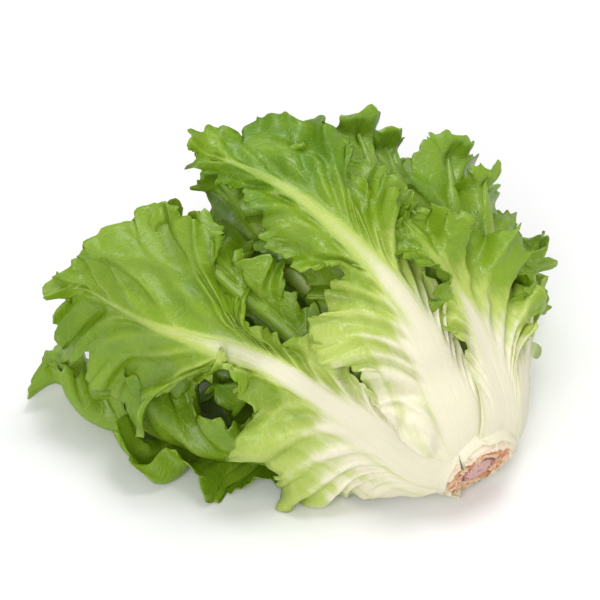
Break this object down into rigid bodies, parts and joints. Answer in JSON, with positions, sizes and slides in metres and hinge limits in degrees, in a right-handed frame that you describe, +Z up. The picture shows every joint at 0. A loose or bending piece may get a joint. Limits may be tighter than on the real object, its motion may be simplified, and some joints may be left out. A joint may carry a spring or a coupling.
{
  "type": "curly endive head",
  "caption": "Loose head of broad frilled salad leaves on one cut stump, lying on its side with the leaves fanned out from the cut end.",
  "frame": {"origin": "on the table, under the middle of the head's bounding box", "axes": "+Z up from the table the head lies on, +Y along the table from the cut stump towards the leaf tips, +X to the right of somebody looking along +Y"},
  "size_m": [0.291, 0.2438, 0.1881],
  "materials": {
    "outer_leaf": "waxy green blade with a cream midrib, satin gloss",
    "middle_leaf": "waxy green blade with a pale midrib, satin gloss",
    "heart_leaf": "tender yellow-green blade with a pale midrib, satin",
    "cut_stump": "cream skin, dusty pink cut face browned at its rim, damp matte"
  },
  "bodies": {
    "root": {"stump": "cut_stump", "outer_leaf_top": "outer_leaf", "outer_leaf_top_right": "outer_leaf", "outer_leaf_right": "outer_leaf", "outer_leaf_under_right": "outer_leaf", "outer_leaf_under": "outer_leaf", "outer_leaf_under_left": "outer_leaf", "outer_leaf_left": "outer_leaf", "second_whorl_leaf_1": "outer_leaf", "second_whorl_leaf_2": "outer_leaf", "second_whorl_leaf_3": "outer_leaf", "second_whorl_leaf_4": "outer_leaf", "second_whorl_leaf_5": "outer_leaf", "second_whorl_leaf_6": "outer_leaf", "second_whorl_leaf_7": "outer_leaf", "third_whorl_leaf_1": "middle_leaf", "third_whorl_leaf_2": "middle_leaf", "third_whorl_leaf_3": "middle_leaf", "third_whorl_leaf_4": "middle_leaf", "third_whorl_leaf_5": "middle_leaf", "third_whorl_leaf_6": "middle_leaf", "fourth_whorl_leaf_1": "middle_leaf", "fourth_whorl_leaf_2": "middle_leaf", "fourth_whorl_leaf_3": "middle_leaf", "fourth_whorl_leaf_4": "middle_leaf", "fourth_whorl_leaf_5": "middle_leaf", "fourth_whorl_leaf_6": "middle_leaf", "fifth_whorl_leaf_1": "middle_leaf", "fifth_whorl_leaf_2": "middle_leaf", "fifth_whorl_leaf_3": "middle_leaf", "fifth_whorl_leaf_4": "middle_leaf", "fifth_whorl_leaf_5": "middle_leaf", "sixth_whorl_leaf_1": "heart_leaf", "sixth_whorl_leaf_2": "heart_leaf", "sixth_whorl_leaf_3": "heart_leaf", "sixth_whorl_leaf_4": "heart_leaf", "sixth_whorl_leaf_5": "heart_leaf", "seventh_whorl_leaf_1": "heart_leaf", "seventh_whorl_leaf_2": "heart_leaf", "seventh_whorl_leaf_3": "heart_leaf", "seventh_whorl_leaf_4": "heart_leaf", "heart_whorl_leaf_1": "heart_leaf", "heart_whorl_leaf_2": "heart_leaf", "heart_whorl_leaf_3": "heart_leaf"}
  },
  "joints": []
}
